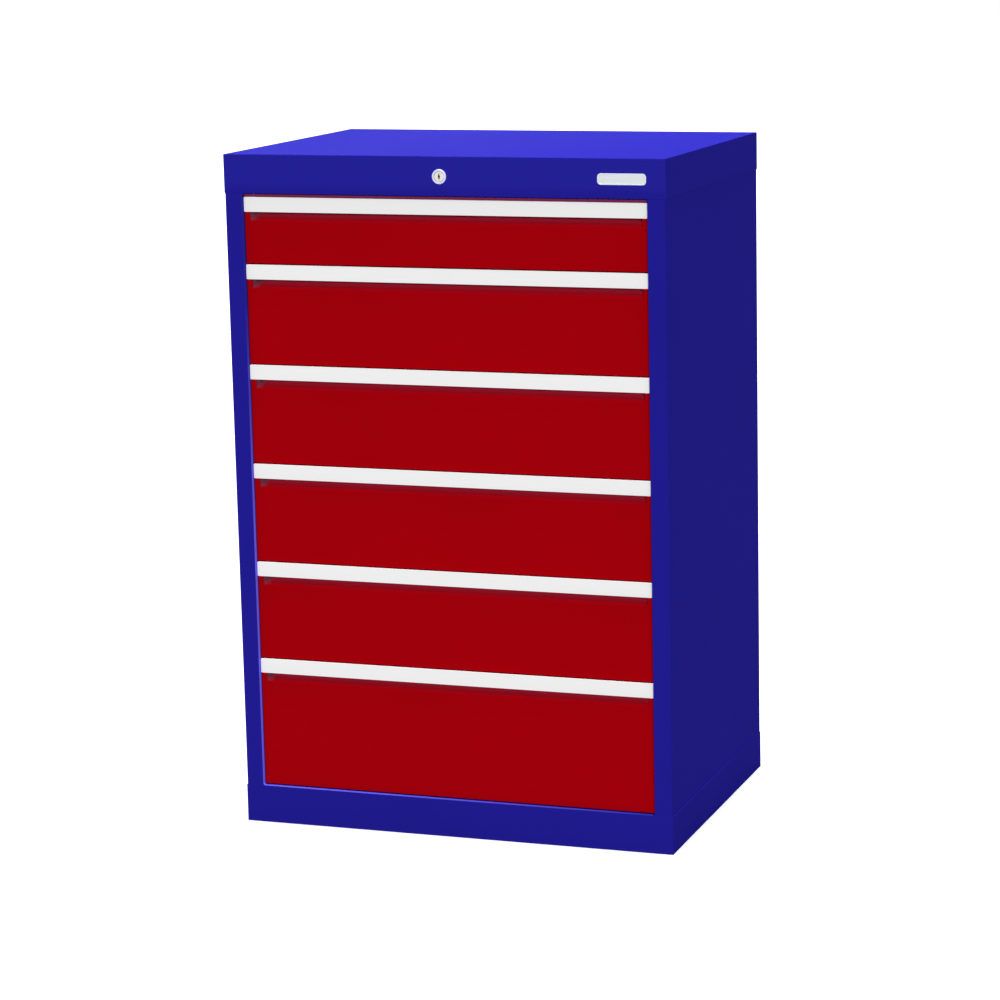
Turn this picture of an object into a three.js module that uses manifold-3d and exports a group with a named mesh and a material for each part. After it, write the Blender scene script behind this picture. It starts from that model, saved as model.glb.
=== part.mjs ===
import * as THREE from 'three';
import { mergeVertices } from 'three/addons/utils/BufferGeometryUtils.js';
import Module from 'manifold-3d';

const wasm = await Module();
wasm.setup();

// Driving dimensions, in millimetres.
// X runs to the right, Y to the back and Z up. The origin is on the floor, under the middle of the object.

// Carcass
const bodyWidth = 680;
const bodyDepth = 493;
const bodySheet = 1.2;
const topBand = 57.5;
const baseBand = 57.5;
const postFace = 27.5;
const postReturn = 30;
const rearFlange = 25;
const joggleLap = 6;
const deckDrop = 27.5;
const footFlange = 30;
const lipDepth = 22;
const sillFillet = 4;

// Drawer stack: a shallow drawer at the top, middle ones below it and a deep one at the foot
const shallowFront = 98.5;
const middleFront = 148.5;
const deepFront = 196.5;
const middleFrontCount = 4;
const frontGap = 1.5;
const headGap = 5.5;
const sillGap = 2;
const frontSideGap = 1.25;
const frontRecess = 7;

// Drawer front: a pressed pan with a finger scoop along its top
const panSheet = 1.2;
const panDepth = 30;
const panLip = 10;
const scoopEnd = 8;
const scoopDepth = 26;
const scoopBelowStrip = 17;
const scoopRadius = 8;
const scoopLeanDegrees = 70;

// Handle strip
const stripHeight = 22;
const stripThickness = 2.5;
const stripHook = 6;
const stripHookThickness = 2;
const stripCorner = 1.5;

// Drawer box
const boxSheet = 1;
const boxLift = 4;
const boxDrop = 26;
const boxFrontDrop = 1.5;
const boxRearRoom = 45;
const boxSideGap = 1.5;
const boxRim = 5;

// Telescopic runners: a rail on the cabinet, a middle runner and a rail on the drawer box
const railHeight = 42;
const railWidth = 13.5;
const railSheet = 1.5;
const railTuck = 0.5;
const railLift = 7;
const railFrontGap = 2.5;
const runnerClearance = 0.5;
const runnerTipGap = 1;

// Slotted uprights that carry the runners
const uprightWidth = 35;
const uprightSheet = 1.5;
const uprightFrontSetback = 46;
const uprightRearSetback = 66;
const uprightTopGap = 8;
const slotPitch = 50;
const slotHeight = 14;
const slotWidth = 5;

// Central lock in the top band
const lockDrop = 29;
const bezelLip = 1.25;
const bezelProud = 3;
const bezelChamfer = 0.8;
const lockBodyWall = 1.75;
const lockBodyLength = 24;
const lockHoleGap = 0.3;
const plugRadius = 7.5;
const plugRunningGap = 0.25;
const plugSink = 0.8;
const plugChamfer = 0.4;
const plugTail = 3;
const keyholeHeight = 11;
const keyholeWidth = 3.5;
const keyholeDepth = 14;
const lockNutWall = 2.5;
const lockNutThickness = 4;

// Lock spindle, its crank and its bracket
const spindleRadius = 4;
const spindleRunningGap = 0.3;
const crankRadius = 12;
const crankThickness = 4;
const crankPinRadius = 2.5;
const bracketSetback = 43;
const bracketWidth = 24;
const bracketSheet = 3;
const bracketFoot = 20;
const bracketBelowSpindle = 12;

// Vertical locking bar behind the drawers
const lockTravel = 10;
const barWidth = 20;
const barThickness = 3;
const barRearGap = 3.8;
const barRestGap = 0.3;
const barHeadWidth = 36;
const barHeadHeight = 30;
const crankBarGap = 2;
const slotPlay = 0.5;
const hookWidth = 12;
const hookThickness = 3;
const hookTip = 11.5;
const hookRestGap = 1.5;
const hookPlay = 1.5;
const guideHeight = 20;
const guideSheet = 1.5;
const guidePlay = 0.5;
const guideFrontGap = 1;
const guideFlange = 14;
const lowerGuideAboveDeck = 60;
const upperGuideBelowTopBand = 60;

// Blank nameplate on the top band
const plateWidth = 72.5;
const plateHeight = 16.2;
const plateThickness = 1;
const plateCorner = 4;
const plateSideMargin = 28.45;
const plateDrop = 29.4;

// Facets of curved shapes
const arcSteps = 5;
const cornerSteps = 4;
const smallCircleSteps = 20;
const largeCircleSteps = 40;
const hexSides = 6;

// Every cut runs past its piece by this much.
const overrun = 1;

// Places that follow from the sizes above. The lock's bezel reaches furthest forward.
const overallDepth = bodyDepth + bezelProud;
const frontY = bezelProud - overallDepth / 2;
const rearY = overallDepth / 2;
const sideX = bodyWidth / 2;
const panelX = sideX - bodySheet;
const wallX = panelX - bodySheet;
const openingX = sideX - postFace;
const deckHeight = baseBand - deckDrop;
const deckTop = deckHeight + bodySheet;
const frontHeights = [shallowFront, ...Array(middleFrontCount).fill(middleFront), deepFront];
const stackHeight = frontHeights.reduce((sum, height) => sum + height + frontGap, -frontGap);
const stackTop = baseBand + sillGap + stackHeight;
const bandBottom = stackTop + headGap;
const bodyTop = bandBottom + topBand;
const plateUnderside = bodyTop - bodySheet;
const drawerBottoms = frontHeights.map((height, index) => {
  const above = frontHeights.slice(0, index).reduce((sum, other) => sum + other + frontGap, 0);
  return stackTop - above - height;
});

const frontX = openingX - frontSideGap;
const faceY = frontY + frontRecess;
const panRearY = faceY + panDepth;
const boxRearY = rearY - boxRearRoom;
const railX = openingX + railTuck;
const railTipX = railX - railWidth;
const boxX = railTipX - boxSideGap;
const middleX = railX - railSheet - runnerClearance;
const middleTipX = railTipX + runnerTipGap;
const drawerRailX = middleX - railSheet - runnerClearance;
const railFrontY = panRearY + railFrontGap;
const railCentre = railLift + railHeight / 2;

const lockZ = bodyTop - lockDrop;
const barRearY = rearY - bodySheet - barRearGap;
const barFrontY = barRearY - barThickness;
const crankY = barFrontY - crankBarGap - crankThickness;
const bracketY = rearY - bracketSetback;
const lockBodyRadius = plugRadius + plugRunningGap + lockBodyWall;
const bezelRadius = lockBodyRadius + bezelLip;
const plugFront = plugSink - bezelProud;
const spindleFrontY = frontY + lockBodyLength + plugTail;
const crankThrow = lockTravel / (2 * Math.sin(Math.PI / 4));
const pinRise = crankThrow * Math.sin(Math.PI / 4);
const rearWallY = boxRearY - boxSheet;

// Finishes

const finish = (color, roughness, metalness) => () =>
  new THREE.MeshStandardMaterial({ color, roughness, metalness });
const bluePaint = finish(0x211e8a, 0.45, 0);
const redPaint = finish(0x9c000d, 0.4, 0);
const whiteStrip = finish(0xededed, 0.4, 0);
const greyPaint = finish(0xb9bdbf, 0.5, 0);
const zincSteel = finish(0xb4b8bb, 0.4, 0.9);
const nickel = finish(0xd9d9d6, 0.25, 1);
const paleMetal = finish(0xdee2eb, 0.35, 0.6);

// Shapes

function solid(geometry) {
  const bare = geometry.clone();
  bare.deleteAttribute('normal');
  bare.deleteAttribute('uv');
  const merged = mergeVertices(bare);
  return new wasm.Manifold(new wasm.Mesh({
    numProp: 3,
    vertProperties: merged.attributes.position.array,
    triVerts: new Uint32Array(merged.index.array),
  }));
}

function geometryOf(shape) {
  const { vertProperties, triVerts } = shape.getMesh();
  const geometry = new THREE.BufferGeometry();
  geometry.setAttribute('position', new THREE.BufferAttribute(vertProperties, 3));
  geometry.setIndex(new THREE.BufferAttribute(triVerts, 1));
  const faceted = geometry.toNonIndexed();
  faceted.computeVertexNormals();
  return faceted;
}

// A mesh of one node, made of a solid.
function piece(name, shape, material) {
  const mesh = new THREE.Mesh(geometryOf(shape), material());
  mesh.name = name;
  return mesh;
}

// A box between two places on each axis.
function block([x0, x1], [y0, y1], [z0, z1]) {
  const geometry = new THREE.BoxGeometry(x1 - x0, y1 - y0, z1 - z0);
  geometry.translate((x0 + x1) / 2, (y0 + y1) / 2, (z0 + z1) / 2);
  return solid(geometry);
}

// A flat outline, pushed along one axis. Its points are (y, z) for x, (x, z) for y and (x, y) for z.
const prismFrames = {
  x: [new THREE.Vector3(0, 1, 0), new THREE.Vector3(0, 0, 1), new THREE.Vector3(1, 0, 0)],
  y: [new THREE.Vector3(1, 0, 0), new THREE.Vector3(0, 0, 1), new THREE.Vector3(0, -1, 0)],
  z: [new THREE.Vector3(1, 0, 0), new THREE.Vector3(0, 1, 0), new THREE.Vector3(0, 0, 1)],
};

function prism(points, axis, [from, to]) {
  const outline = new THREE.Shape(points.map(([u, v]) => new THREE.Vector2(u, v)));
  const geometry = new THREE.ExtrudeGeometry(outline, { depth: to - from, bevelEnabled: false });
  geometry.applyMatrix4(new THREE.Matrix4().makeBasis(...prismFrames[axis]));
  const start = axis === 'y' ? to : from;
  const offset = { x: [start, 0, 0], y: [0, start, 0], z: [0, 0, start] }[axis];
  geometry.translate(...offset);
  return solid(geometry);
}

// A round bar along Y.
function rod(radius, [y0, y1], steps, x = 0, z = 0) {
  const geometry = new THREE.CylinderGeometry(radius, radius, y1 - y0, steps);
  geometry.translate(x, (y0 + y1) / 2, z);
  return solid(geometry);
}

// A folded sheet's section: the path follows its outer face, and the sheet lies on the path's right.
function folded(path, thickness) {
  const rights = path.slice(1).map(([u, v], index) => {
    const [du, dv] = [u - path[index][0], v - path[index][1]];
    const length = Math.hypot(du, dv);
    return [dv / length, -du / length];
  });
  const inner = path.map(([u, v], index) => {
    const before = rights[Math.max(index - 1, 0)];
    const after = rights[Math.min(index, rights.length - 1)];
    const reach = thickness / (1 + before[0] * after[0] + before[1] * after[1]);
    return [u + reach * (before[0] + after[0]), v + reach * (before[1] + after[1])];
  });
  return [...path, ...inner.reverse()];
}

// Points on an arc about a centre, from one angle to another.
function arc([u, v], radius, from, to, steps) {
  return Array.from({ length: steps + 1 }, (_, index) => {
    const angle = from + (to - from) * index / steps;
    return [u + radius * Math.cos(angle), v + radius * Math.sin(angle)];
  });
}

function roundedRectangle([u0, u1], [v0, v1], radius) {
  const quarter = Math.PI / 2;
  return [
    ...arc([u1 - radius, v1 - radius], radius, 0, quarter, cornerSteps),
    ...arc([u0 + radius, v1 - radius], radius, quarter, 2 * quarter, cornerSteps),
    ...arc([u0 + radius, v0 + radius], radius, 2 * quarter, 3 * quarter, cornerSteps),
    ...arc([u1 - radius, v0 + radius], radius, 3 * quarter, 4 * quarter, cornerSteps),
  ];
}

const united = (first, ...others) => others.reduce((sum, other) => sum.add(other), first);
const cut = (first, ...others) => others.reduce((rest, other) => rest.subtract(other), first);

// Carcass

// The cover is a lid: a plate with a flange down each side, and a lip behind the foot of its front band.
function topCover() {
  const outside = block([-sideX, sideX], [frontY, rearY], [bandBottom, bodyTop]);
  const inside = block(
    [-panelX, panelX],
    [frontY + bodySheet, rearY - bodySheet],
    [bandBottom - overrun, plateUnderside],
  );
  const lip = block([-openingX, openingX], [frontY, frontY + lipDepth], [bandBottom, bandBottom + bodySheet]);
  const lockHole = rod(
    lockBodyRadius + lockHoleGap,
    [frontY - overrun, frontY + bodySheet + overrun],
    largeCircleSteps,
    0,
    lockZ,
  );
  return piece('top_cover', cut(united(cut(outside, inside), lip), lockHole), bluePaint);
}

// The base is a plinth: a ring of bands with a deck inside, foot flanges below and a sill at its top edge.
function base() {
  const within = [frontY + bodySheet, rearY - bodySheet];
  const outside = block([-sideX, sideX], [frontY, rearY], [0, baseBand]);
  const tray = block([-panelX, panelX], within, [deckTop, baseBand + overrun]);
  const hollow = block([-panelX, panelX], within, [bodySheet, deckHeight]);
  const mouth = block(
    [footFlange - sideX, sideX - footFlange],
    [frontY + footFlange, rearY - footFlange],
    [-overrun, bodySheet + overrun],
  );
  const sill = block([-openingX, openingX], [frontY, frontY + lipDepth], [baseBand - bodySheet, baseBand]);
  const filletOutline = (side) => [
    [side * openingX, baseBand - bodySheet],
    [side * openingX, baseBand + sillFillet],
    ...arc(
      [side * (openingX - sillFillet), baseBand + sillFillet],
      sillFillet,
      side > 0 ? 0 : Math.PI,
      side > 0 ? -Math.PI / 2 : 3 * Math.PI / 2,
      arcSteps,
    ).slice(1),
    [side * (openingX - sillFillet), baseBand - bodySheet],
  ];
  const fillets = [-1, 1].map((side) => prism(filletOutline(side), 'y', [frontY, faceY - frontGap]));
  return piece('base', united(cut(outside, tray, hollow, mouth), sill, ...fillets), bluePaint);
}

// A side panel is one folded sheet: front post, side wall and rear flange.
// Its front steps back behind the bands of the cover and the base.
function sidePanel(name) {
  const section = (front) => folded([
    [panelX - rearFlange, rearY - bodySheet],
    [panelX, rearY - bodySheet],
    [panelX, front],
    [openingX, front],
    [openingX, frontY + postReturn],
  ], bodySheet);
  const post = prism(section(frontY), 'z', [baseBand, bandBottom]);
  const foot = prism(section(frontY + bodySheet), 'z', [deckTop, baseBand + joggleLap]);
  const head = prism(section(frontY + bodySheet), 'z', [bandBottom - joggleLap, plateUnderside]);
  return piece(name, united(post, foot, head), bluePaint);
}

function backPanel() {
  const sheet = block([-panelX, panelX], [rearY - bodySheet, rearY], [baseBand, bandBottom]);
  return piece('back_panel', sheet, bluePaint);
}

// A U-shaped upright, slotted for the runners, open towards the side wall.
function upright(name, y) {
  const foot = deckTop;
  const top = plateUnderside - uprightTopGap;
  const channel = prism(folded([
    [wallX, y],
    [railX, y],
    [railX, y + uprightWidth],
    [wallX, y + uprightWidth],
  ], uprightSheet), 'z', [foot, top]);
  const count = Math.floor((top - foot) / slotPitch) - 1;
  const slots = Array.from({ length: count }, (_, index) => block(
    [railX - overrun, railX + uprightSheet + overrun],
    [y + (uprightWidth - slotWidth) / 2, y + (uprightWidth + slotWidth) / 2],
    [foot + slotPitch * (index + 1), foot + slotPitch * (index + 1) + slotHeight],
  ));
  return piece(name, cut(channel, ...slots), zincSteel);
}

// Drawers. Each is built in its own frame, with its front's bottom edge at z = 0.

// The scoop in front of the pressed sheet, in (y, z): it rolls back from the face, leans, and rises again.
// A grown scoop lies deeper by the thickness of the sheet.
function scoopOutline(start, top, grow) {
  const lean = THREE.MathUtils.degToRad(scoopLeanDegrees);
  const [sine, cosine] = [Math.sin(lean), Math.cos(lean)];
  const straight = (scoopDepth - 2 * scoopRadius * (1 - cosine)) / sine;
  const rollCentre = [faceY + scoopRadius, start];
  const riseCentre = [faceY + scoopDepth - scoopRadius, start + 2 * scoopRadius * sine + straight * cosine];
  return [
    [frontY - overrun, start],
    ...arc(rollCentre, scoopRadius - grow, Math.PI, Math.PI - lean, arcSteps),
    ...arc(riseCentre, scoopRadius + grow, -lean, 0, arcSteps),
    [faceY + scoopDepth + grow, top],
    [frontY - overrun, top],
  ];
}

function drawerFront(name, height) {
  const start = height - stripHeight - scoopBelowStrip;
  const landX = frontX - scoopEnd;
  const body = block([-frontX, frontX], [faceY, panRearY], [0, height]);
  const scoop = prism(scoopOutline(start, height - panSheet, 0), 'x', [-landX, landX]);
  const grown = prism(
    scoopOutline(start, height - panSheet + overrun, panSheet),
    'x',
    [-landX - panSheet, landX + panSheet],
  );
  const hollow = block(
    [panSheet - frontX, frontX - panSheet],
    [faceY + panSheet, panRearY + overrun],
    [panSheet, height - panSheet],
  );
  const lip = block([-landX, landX], [faceY, faceY + panSheet], [height - panLip, height - panSheet]);
  return piece(name, united(cut(body, scoop, cut(hollow, grown)), lip), redPaint);
}

// The strip lies on the lip and the lands of the front, with a return along its foot for the fingers.
function handleStrip(name, height) {
  const face = prism(
    roundedRectangle([-frontX, frontX], [height - stripHeight, height], stripCorner),
    'y',
    [faceY - stripThickness, faceY],
  );
  const landX = frontX - scoopEnd - panSheet;
  const hook = block(
    [-landX, landX],
    [faceY - stripThickness, faceY + stripHook],
    [height - stripHeight, height - stripHeight + stripHookThickness],
  );
  return piece(name, united(face, hook), whiteStrip);
}

function drawerBox(name, height) {
  const floor = boxLift;
  const top = height - boxDrop;
  const frontWallTop = height - boxFrontDrop;
  const body = united(
    block([-boxX, boxX], [panRearY, boxRearY], [floor, top]),
    block([-boxX, boxX], [panRearY, panRearY + boxSheet], [floor, frontWallTop]),
  );
  const inside = block(
    [boxSheet - boxX, boxX - boxSheet],
    [panRearY + boxSheet, boxRearY - boxSheet],
    [floor + boxSheet, top + overrun],
  );
  const railTop = railCentre + railHeight / 2 - railSheet - 2 * runnerClearance - railSheet;
  const railFoot = 2 * railCentre - railTop;
  const sides = [-1, 1].flatMap((side) => {
    const rail = [[drawerRailX, railTop], [boxX, railTop], [boxX, railFoot], [drawerRailX, railFoot]];
    const outline = folded(rail.reverse(), railSheet).map(([x, z]) => [side * x, z]);
    const rimX = [side * boxX, side * (boxX + boxRim)].sort((a, b) => a - b);
    return [
      prism(outline, 'y', [railFrontY, boxRearY]),
      block(rimX, [panRearY + boxSheet, boxRearY], [top - boxSheet, top]),
    ];
  });
  return piece(name, united(cut(body, inside), ...sides), greyPaint);
}

// A C-shaped runner member in (x, z), open towards the drawer box.
function runner(name, [tipX, outerX], height) {
  const outline = folded([
    [tipX, railCentre + height / 2],
    [outerX, railCentre + height / 2],
    [outerX, railCentre - height / 2],
    [tipX, railCentre - height / 2],
  ], railSheet);
  return piece(name, prism(outline, 'y', [railFrontY, boxRearY]), zincSteel);
}

const middleHeight = railHeight - 2 * (railSheet + runnerClearance);
const sides = { left: -1, right: 1 };

// What faces the right-hand side, or its mirror image on the left.
function onSide(side, ...meshes) {
  const group = new THREE.Group();
  group.scale.x = sides[side];
  group.add(...meshes);
  return group;
}

function drawer(height, index) {
  const number = index + 1;
  const group = new THREE.Group();
  group.position.z = drawerBottoms[index];
  group.add(
    drawerFront(`drawer_${number}_front`, height),
    handleStrip(`drawer_${number}_handle_strip`, height),
    drawerBox(`drawer_${number}_box`, height),
  );
  Object.keys(sides).forEach((side) => group.add(onSide(
    side,
    runner(`drawer_${number}_middle_runner_${side}`, [middleTipX, middleX], middleHeight),
    runner(`drawer_${number}_cabinet_rail_${side}`, [railTipX, railX], railHeight),
  )));
  return group;
}

// Lock. Its pieces are built about the lock's axis, with y = 0 on the top band's face.

function lathe(profile, steps) {
  return solid(new THREE.LatheGeometry(profile.map(([r, y]) => new THREE.Vector2(r, y)), steps));
}

function lockHousing() {
  const bore = plugRadius + plugRunningGap;
  return piece('lock_housing', lathe([
    [bore, -bezelProud],
    [bezelRadius - bezelChamfer, -bezelProud],
    [bezelRadius, bezelChamfer - bezelProud],
    [bezelRadius, 0],
    [lockBodyRadius, 0],
    [lockBodyRadius, lockBodyLength],
    [bore, lockBodyLength],
    [bore, -bezelProud],
  ], largeCircleSteps), nickel);
}

function lockNut() {
  const apothem = lockBodyRadius + lockNutWall;
  const hex = arc([0, 0], apothem / Math.cos(Math.PI / hexSides), 0, 2 * Math.PI, hexSides).slice(1);
  const nut = prism(hex, 'y', [bodySheet, bodySheet + lockNutThickness]);
  const thread = rod(
    lockBodyRadius + lockHoleGap,
    [bodySheet - overrun, bodySheet + lockNutThickness + overrun],
    largeCircleSteps,
  );
  return piece('lock_nut', cut(nut, thread), nickel);
}

function lockPlug() {
  const rear = lockBodyLength + plugTail;
  const body = lathe([
    [0, plugFront],
    [plugRadius - plugChamfer, plugFront],
    [plugRadius, plugFront + plugChamfer],
    [plugRadius, rear],
    [0, rear],
  ], largeCircleSteps);
  const keyhole = prism([
    [0, keyholeHeight / 2],
    [-keyholeWidth / 2, 0],
    [0, -keyholeHeight / 2],
    [keyholeWidth / 2, 0],
  ], 'y', [plugFront - overrun, plugFront + keyholeDepth]);
  return piece('lock_plug', cut(body, keyhole), nickel);
}

// The spindle runs from the plug to a crank behind the drawers, whose pin lies in the locking bar's slot.
function lockSpindle() {
  const shaft = rod(spindleRadius, [spindleFrontY - frontY, crankY - frontY], smallCircleSteps);
  const disc = rod(crankRadius, [crankY - frontY, crankY + crankThickness - frontY], largeCircleSteps);
  const pin = rod(
    crankPinRadius,
    [crankY + crankThickness - frontY, barRearY + crankBarGap - frontY],
    smallCircleSteps,
    pinRise,
    pinRise,
  );
  return piece('lock_spindle', united(shaft, disc, pin), zincSteel);
}

function lock() {
  const group = new THREE.Group();
  group.position.set(0, frontY, lockZ);
  group.add(lockHousing(), lockNut(), lockPlug(), lockSpindle());
  return group;
}

// The bracket hangs from the cover and carries the rear of the spindle.
function spindleBracket() {
  const foot = block(
    [-bracketWidth / 2, bracketWidth / 2],
    [bracketY, bracketY + bracketFoot],
    [plateUnderside - bracketSheet, plateUnderside],
  );
  const hanger = block(
    [-bracketWidth / 2, bracketWidth / 2],
    [bracketY, bracketY + bracketSheet],
    [lockZ - bracketBelowSpindle, plateUnderside],
  );
  const bearing = rod(
    spindleRadius + spindleRunningGap,
    [bracketY - overrun, bracketY + bracketSheet + overrun],
    smallCircleSteps,
    0,
    lockZ,
  );
  return piece('spindle_bracket', cut(united(foot, hanger), bearing), zincSteel);
}

// The bar hangs high when the lock is open, with each hook just above and ahead of its drawer's rear wall.
function lockingBar() {
  const pinZ = lockZ + pinRise;
  const thickness = [barFrontY, barRearY];
  const strip = block([-barWidth / 2, barWidth / 2], thickness, [deckTop + barRestGap + lockTravel, pinZ]);
  const head = block(
    [-barHeadWidth / 2, barHeadWidth / 2],
    thickness,
    [pinZ - barHeadHeight / 2, pinZ + barHeadHeight / 2],
  );
  const reach = crankPinRadius + slotPlay;
  const slot = block(
    [pinRise - reach, crankThrow + reach],
    [barFrontY - overrun, barRearY + overrun],
    [pinZ - reach, pinZ + reach],
  );
  const tipRearY = rearWallY - hookPlay;
  const hooks = drawerBottoms.flatMap((bottom, index) => {
    const x = [-hookWidth / 2, hookWidth / 2];
    const tipZ = bottom + frontHeights[index] - boxDrop + hookRestGap;
    const armZ = tipZ + hookTip;
    return [
      block(x, [tipRearY - hookThickness, barFrontY + barThickness / 2], [armZ, armZ + hookThickness]),
      block(x, [tipRearY - hookThickness, tipRearY], [tipZ, armZ + hookThickness]),
    ];
  });
  return piece('locking_bar', united(cut(united(strip, head), slot), ...hooks), zincSteel);
}

// A hat-shaped guide on the back panel that keeps the bar upright.
function barGuide(name, z) {
  const inner = barWidth / 2 + guidePlay;
  const outer = inner + guideSheet;
  const panelY = rearY - bodySheet;
  const crownY = barFrontY - guideFrontGap - guideSheet;
  const hat = folded([
    [-outer - guideFlange, panelY - guideSheet],
    [-outer, panelY - guideSheet],
    [-outer, crownY],
    [outer, crownY],
    [outer, panelY - guideSheet],
    [outer + guideFlange, panelY - guideSheet],
  ].reverse(), guideSheet);
  return piece(name, prism(hat, 'z', [z, z + guideHeight]), zincSteel);
}

function nameplate() {
  const rightX = sideX - plateSideMargin;
  const outline = roundedRectangle(
    [rightX - plateWidth, rightX],
    [bodyTop - plateDrop - plateHeight / 2, bodyTop - plateDrop + plateHeight / 2],
    plateCorner,
  );
  return piece('nameplate', prism(outline, 'y', [frontY - plateThickness, frontY]), paleMetal);
}

// The cabinet

const cabinet = new THREE.Group();
cabinet.add(topCover(), base(), backPanel());
Object.keys(sides).forEach((side) => cabinet.add(onSide(
  side,
  sidePanel(`side_panel_${side}`),
  upright(`upright_front_${side}`, frontY + uprightFrontSetback),
  upright(`upright_rear_${side}`, rearY - uprightRearSetback - uprightWidth),
)));
cabinet.add(...frontHeights.map(drawer));
cabinet.add(
  lock(),
  spindleBracket(),
  lockingBar(),
  barGuide('locking_bar_guide_lower', deckTop + lowerGuideAboveDeck),
  barGuide('locking_bar_guide_upper', bandBottom - upperGuideBelowTopBand),
  nameplate(),
);

export default cabinet;
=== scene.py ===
"""Industrial drawer cabinet: its finishes, light and view. Metres, +Z up, +X to the right, +Y to the back."""

import math

import bmesh
import bpy
from mathutils import Matrix, Vector


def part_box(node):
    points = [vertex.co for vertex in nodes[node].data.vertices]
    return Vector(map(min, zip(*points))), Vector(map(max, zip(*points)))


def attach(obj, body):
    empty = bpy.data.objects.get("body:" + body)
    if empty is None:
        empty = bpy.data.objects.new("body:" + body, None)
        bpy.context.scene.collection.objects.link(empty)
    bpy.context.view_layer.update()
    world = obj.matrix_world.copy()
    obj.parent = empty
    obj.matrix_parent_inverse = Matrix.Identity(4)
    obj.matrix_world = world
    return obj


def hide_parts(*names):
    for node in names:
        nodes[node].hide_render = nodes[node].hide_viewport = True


MM = 0.001

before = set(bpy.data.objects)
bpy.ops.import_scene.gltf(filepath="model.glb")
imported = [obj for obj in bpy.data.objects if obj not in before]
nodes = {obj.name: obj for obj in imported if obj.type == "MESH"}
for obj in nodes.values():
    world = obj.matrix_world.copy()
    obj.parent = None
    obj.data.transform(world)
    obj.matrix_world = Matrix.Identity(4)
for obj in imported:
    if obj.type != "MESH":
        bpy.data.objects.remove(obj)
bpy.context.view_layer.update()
scene = bpy.context.scene

# Camera

IMAGE_WIDTH = 1000
FOCAL_PIXELS = 3124.6
CENTRE_COLUMN = 590
SENSOR = 36
VIEW_END = 100
CAMERA_PLACE = Vector((1.6140, -4.4582, 1.3878))
CAMERA_AZIMUTH = math.radians(18.303)
CAMERA_ELEVATION = math.radians(10.997)
CAMERA_ROLL = math.radians(-0.943)


def away(azimuth, elevation):
    """The direction away from the cabinet at an azimuth, from the front to the right, and an elevation."""
    return Vector((
        math.sin(azimuth) * math.cos(elevation),
        -math.cos(azimuth) * math.cos(elevation),
        math.sin(elevation),
    ))


def make_camera():
    back = away(CAMERA_AZIMUTH, CAMERA_ELEVATION)
    level = (-back).cross(Vector((0, 0, 1))).normalized()
    upright = level.cross(-back)
    right = math.cos(CAMERA_ROLL) * level + math.sin(CAMERA_ROLL) * upright
    up = math.cos(CAMERA_ROLL) * upright - math.sin(CAMERA_ROLL) * level
    data = bpy.data.cameras.new("camera")
    data.sensor_width = SENSOR
    data.lens = FOCAL_PIXELS / IMAGE_WIDTH * SENSOR
    data.shift_x = -(CENTRE_COLUMN / IMAGE_WIDTH - 0.5)
    data.clip_end = VIEW_END
    camera = bpy.data.objects.new("camera", data)
    scene.collection.objects.link(camera)
    camera.matrix_world = Matrix.Translation(CAMERA_PLACE) @ Matrix((right, up, back)).transposed().to_4x4()
    scene.camera = camera


make_camera()
scene.view_settings.view_transform = "Standard"

# Light: a high lamp for the cover, a low one for the front, a weak one behind, and a pale surround

FLOOR_SIDE = 60
FLOOR_SEEN = (0.7, 0.7, 0.7, 1)
FLOOR_MIRRORED = (0.4, 0.4, 0.4, 1)
FLOOR_BOUNCE = (0.2, 0.2, 0.2, 1)
FULL_WHITE = (1, 1, 1, 1)
WORLD_STRENGTH = 0.5
TOP_LAMP = {"azimuth": -10, "elevation": 89.5, "strength": 6.2, "spread": 9}
FRONT_LAMP = {"azimuth": 26.5, "elevation": 10, "strength": 1.77, "spread": 12}
BACK_LAMP = {"azimuth": 205, "elevation": 12, "strength": 1.1, "spread": 30}


def light_path(tree, *names):
    """1 for the kinds of ray that are named."""
    path = tree.nodes.new("ShaderNodeLightPath")
    total = path.outputs[names[0]]
    for name in names[1:]:
        both = tree.nodes.new("ShaderNodeMath")
        both.operation = "MAXIMUM"
        tree.links.new(total, both.inputs[0])
        tree.links.new(path.outputs[name], both.inputs[1])
        total = both.outputs[0]
    return total


def mixed(tree, factor, first, second):
    mix = tree.nodes.new("ShaderNodeMixShader")
    tree.links.new(factor, mix.inputs["Fac"])
    tree.links.new(first.outputs[0], mix.inputs[1])
    tree.links.new(second.outputs[0], mix.inputs[2])
    return mix


def coloured(tree, kind, colour):
    shader = tree.nodes.new(kind)
    shader.inputs["Color"].default_value = colour
    return shader


def make_world():
    """A plain surround that lights evenly, and that is white where it is seen or mirrored."""
    world = bpy.data.worlds.new("surround")
    world.use_nodes = True
    tree = world.node_tree
    tree.nodes.clear()
    light = coloured(tree, "ShaderNodeBackground", FULL_WHITE)
    light.inputs["Strength"].default_value = WORLD_STRENGTH
    white = coloured(tree, "ShaderNodeBackground", FULL_WHITE)
    seen = light_path(tree, "Is Camera Ray", "Is Glossy Ray", "Is Transmission Ray")
    out = tree.nodes.new("ShaderNodeOutputWorld")
    tree.links.new(mixed(tree, seen, light, white).outputs[0], out.inputs["Surface"])
    scene.world = world


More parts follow.
